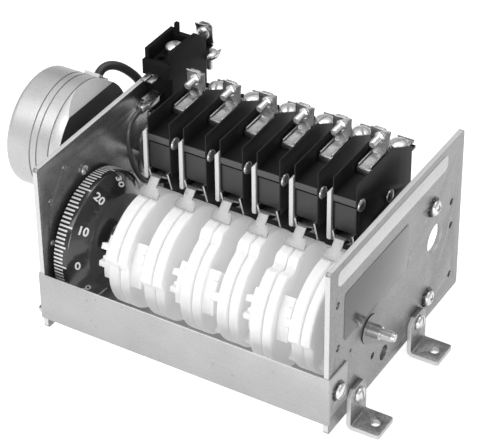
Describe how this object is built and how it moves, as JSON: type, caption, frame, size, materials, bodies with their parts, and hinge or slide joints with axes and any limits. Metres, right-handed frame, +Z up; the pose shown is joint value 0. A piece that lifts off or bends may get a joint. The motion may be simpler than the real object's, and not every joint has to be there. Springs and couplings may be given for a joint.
{
  "type": "cam timer",
  "caption": "Motor-driven cam timer: a gear motor turns a dial and camshaft whose split cams lift levers that press snap switches in a sheet-metal frame.",
  "frame": {"origin": "centre of the four foot holes, on the surface that the feet stand on", "axes": "+X along the camshaft from the motor towards the labelled end plate, +Y from the front rail to the back, +Z up"},
  "size_m": [0.2062, 0.13, 0.118],
  "materials": {
    "zinc_sheet": "zinc-plated sheet steel, matte",
    "rail_sheet": "zinc-plated sheet steel, dull light grey",
    "steel_bright": "bright machined steel",
    "screw_steel": "zinc-plated screws",
    "label_metal": "bare thin label plates",
    "dial_black": "glossy black moulding with white figures",
    "cam_nylon": "white nylon",
    "gear_brass": "machined brass",
    "bush_bronze": "sintered bronze",
    "motor_steel": "zinc-plated drawn can",
    "case_steel": "dull plated gear case",
    "switch_black": "dark moulded switch body",
    "sheet_black": "black fibre insulation",
    "spacer_white": "white nylon strip",
    "plunger_plastic": "moulded plunger",
    "terminal_tin": "tin-plated terminals",
    "block_black": "black moulded block",
    "grip_plastic": "light moulded grips",
    "cable_black": "black cable sheath",
    "wire_grey": "vinyl insulated wire"
  },
  "bodies": {
    "frame": {"base_pan": "zinc_sheet", "block_terminals": "terminal_tin", "cable_grips": "grip_plastic", "contact_strips": "terminal_tin", "foot_brackets": "zinc_sheet", "frame_screws": "screw_steel", "front_rail": "rail_sheet", "gear_case": "case_steel", "insulating_sheets": "sheet_black", "label_plates": "label_metal", "lead_wires": "wire_grey", "left_bushing": "bush_bronze", "left_end_plate": "zinc_sheet", "motor_cable": "cable_black", "motor_can": "motor_steel", "motor_posts": "steel_bright", "pivot_rod": "steel_bright", "rear_lugs": "terminal_tin", "right_bushing": "bush_bronze", "right_end_plate": "zinc_sheet", "spacer_strips": "spacer_white", "switch_deck": "zinc_sheet", "switch_rivets": "screw_steel", "terminal_block": "block_black", "terminal_screws": "screw_steel", "terminal_washers": "terminal_tin", "switch_body_1": "switch_black", "switch_body_2": "switch_black", "switch_body_3": "switch_black", "switch_body_4": "switch_black", "switch_body_5": "switch_black", "switch_body_6": "switch_black"},
    "camshaft": {"camshaft": "steel_bright", "dial": "dial_black", "drive_gear": "gear_brass"},
    "motor_pinion": {"motor_pinion": "gear_brass"},
    "cam_1_left": {"cam_1_left": "cam_nylon"},
    "cam_1_right": {"cam_1_right": "cam_nylon"},
    "lever_1": {"follower_lever_1": "steel_bright"},
    "plunger_1": {"plunger_1": "plunger_plastic"},
    "cam_2_left": {"cam_2_left": "cam_nylon"},
    "cam_2_right": {"cam_2_right": "cam_nylon"},
    "lever_2": {"follower_lever_2": "steel_bright"},
    "plunger_2": {"plunger_2": "plunger_plastic"},
    "cam_3_left": {"cam_3_left": "cam_nylon"},
    "cam_3_right": {"cam_3_right": "cam_nylon"},
    "lever_3": {"follower_lever_3": "steel_bright"},
    "plunger_3": {"plunger_3": "plunger_plastic"},
    "cam_4_left": {"cam_4_left": "cam_nylon"},
    "cam_4_right": {"cam_4_right": "cam_nylon"},
    "lever_4": {"follower_lever_4": "steel_bright"},
    "plunger_4": {"plunger_4": "plunger_plastic"},
    "cam_5_left": {"cam_5_left": "cam_nylon"},
    "cam_5_right": {"cam_5_right": "cam_nylon"},
    "lever_5": {"follower_lever_5": "steel_bright"},
    "plunger_5": {"plunger_5": "plunger_plastic"},
    "cam_6_left": {"cam_6_left": "cam_nylon"},
    "cam_6_right": {"cam_6_right": "cam_nylon"},
    "lever_6": {"follower_lever_6": "steel_bright"},
    "plunger_6": {"plunger_6": "plunger_plastic"}
  },
  "joints": [
    {"name": "camshaft_turn", "type": "hinge", "parent": "frame", "child": "camshaft", "pos_m": [0, -0.0164, 0.042], "axis": [1, 0, 0], "continuous": true},
    {"name": "pinion_turn", "type": "hinge", "parent": "frame", "child": "motor_pinion", "pos_m": [0, 0.00099, 0.06644], "axis": [1, 0, 0], "continuous": true},
    {"name": "cam_1_left_setting", "type": "hinge", "parent": "camshaft", "child": "cam_1_left", "pos_m": [-0.0396, -0.0164, 0.042], "axis": [1, 0, 0], "range_deg": [-12, 12]},
    {"name": "cam_1_right_setting", "type": "hinge", "parent": "camshaft", "child": "cam_1_right", "pos_m": [-0.0396, -0.0164, 0.042], "axis": [1, 0, 0], "range_deg": [-12, 12]},
    {"name": "lever_1_lift", "type": "hinge", "parent": "frame", "child": "lever_1", "pos_m": [-0.03935, 0.026, 0.074], "axis": [-1, 0, 0], "range_deg": [0, 4.6], "stiffness_Nm_per_rad": 0.05, "springref_deg": -2.86},
    {"name": "plunger_1_push", "type": "slide", "parent": "frame", "child": "plunger_1", "axis": [0, 0, 1], "range_m": [0, 0.0018]},
    {"name": "cam_2_left_setting", "type": "hinge", "parent": "camshaft", "child": "cam_2_left", "pos_m": [-0.02055, -0.0164, 0.042], "axis": [1, 0, 0], "range_deg": [-12, 12]},
    {"name": "cam_2_right_setting", "type": "hinge", "parent": "camshaft", "child": "cam_2_right", "pos_m": [-0.02055, -0.0164, 0.042], "axis": [1, 0, 0], "range_deg": [-12, 12]},
    {"name": "lever_2_lift", "type": "hinge", "parent": "frame", "child": "lever_2", "pos_m": [-0.0203, 0.026, 0.074], "axis": [-1, 0, 0], "range_deg": [0, 4.6], "stiffness_Nm_per_rad": 0.05, "springref_deg": -2.86},
    {"name": "plunger_2_push", "type": "slide", "parent": "frame", "child": "plunger_2", "axis": [0, 0, 1], "range_m": [0, 0.0018]},
    {"name": "cam_3_left_setting", "type": "hinge", "parent": "camshaft", "child": "cam_3_left", "pos_m": [-0.0015, -0.0164, 0.042], "axis": [1, 0, 0], "range_deg": [-12, 12]},
    {"name": "cam_3_right_setting", "type": "hinge", "parent": "camshaft", "child": "cam_3_right", "pos_m": [-0.0015, -0.0164, 0.042], "axis": [1, 0, 0], "range_deg": [-12, 12]},
    {"name": "lever_3_lift", "type": "hinge", "parent": "frame", "child": "lever_3", "pos_m": [-0.00125, 0.026, 0.074], "axis": [-1, 0, 0], "range_deg": [0, 4.6], "stiffness_Nm_per_rad": 0.05, "springref_deg": -2.86},
    {"name": "plunger_3_push", "type": "slide", "parent": "frame", "child": "plunger_3", "axis": [0, 0, 1], "range_m": [0, 0.0018]},
    {"name": "cam_4_left_setting", "type": "hinge", "parent": "camshaft", "child": "cam_4_left", "pos_m": [0.01755, -0.0164, 0.042], "axis": [1, 0, 0], "range_deg": [-12, 12]},
    {"name": "cam_4_right_setting", "type": "hinge", "parent": "camshaft", "child": "cam_4_right", "pos_m": [0.01755, -0.0164, 0.042], "axis": [1, 0, 0], "range_deg": [-12, 12]},
    {"name": "lever_4_lift", "type": "hinge", "parent": "frame", "child": "lever_4", "pos_m": [0.0178, 0.026, 0.074], "axis": [-1, 0, 0], "range_deg": [0, 4.6], "stiffness_Nm_per_rad": 0.05, "springref_deg": -2.86},
    {"name": "plunger_4_push", "type": "slide", "parent": "frame", "child": "plunger_4", "axis": [0, 0, 1], "range_m": [0, 0.0018]},
    {"name": "cam_5_left_setting", "type": "hinge", "parent": "camshaft", "child": "cam_5_left", "pos_m": [0.0366, -0.0164, 0.042], "axis": [1, 0, 0], "range_deg": [-12, 12]},
    {"name": "cam_5_right_setting", "type": "hinge", "parent": "camshaft", "child": "cam_5_right", "pos_m": [0.0366, -0.0164, 0.042], "axis": [1, 0, 0], "range_deg": [-12, 12]},
    {"name": "lever_5_lift", "type": "hinge", "parent": "frame", "child": "lever_5", "pos_m": [0.03685, 0.026, 0.074], "axis": [-1, 0, 0], "range_deg": [0, 4.6], "stiffness_Nm_per_rad": 0.05, "springref_deg": -2.86},
    {"name": "plunger_5_push", "type": "slide", "parent": "frame", "child": "plunger_5", "axis": [0, 0, 1], "range_m": [0, 0.0018]},
    {"name": "cam_6_left_setting", "type": "hinge", "parent": "camshaft", "child": "cam_6_left", "pos_m": [0.05565, -0.0164, 0.042], "axis": [1, 0, 0], "range_deg": [-12, 12]},
    {"name": "cam_6_right_setting", "type": "hinge", "parent": "camshaft", "child": "cam_6_right", "pos_m": [0.05565, -0.0164, 0.042], "axis": [1, 0, 0], "range_deg": [-12, 12]},
    {"name": "lever_6_lift", "type": "hinge", "parent": "frame", "child": "lever_6", "pos_m": [0.0559, 0.026, 0.074], "axis": [-1, 0, 0], "range_deg": [0, 4.6], "stiffness_Nm_per_rad": 0.05, "springref_deg": -2.86},
    {"name": "plunger_6_push", "type": "slide", "parent": "frame", "child": "plunger_6", "axis": [0, 0, 1], "range_m": [0, 0.0018]}
  ],
  "couplings": [
    {"joint": "pinion_turn", "follows": "camshaft_turn", "ratio": -4},
    {"joint": "plunger_1_push", "follows": "lever_1_lift", "m_per_rad": 0.022},
    {"joint": "plunger_2_push", "follows": "lever_2_lift", "m_per_rad": 0.022},
    {"joint": "plunger_3_push", "follows": "lever_3_lift", "m_per_rad": 0.022},
    {"joint": "plunger_4_push", "follows": "lever_4_lift", "m_per_rad": 0.022},
    {"joint": "plunger_5_push", "follows": "lever_5_lift", "m_per_rad": 0.022},
    {"joint": "plunger_6_push", "follows": "lever_6_lift", "m_per_rad": 0.022}
  ]
}
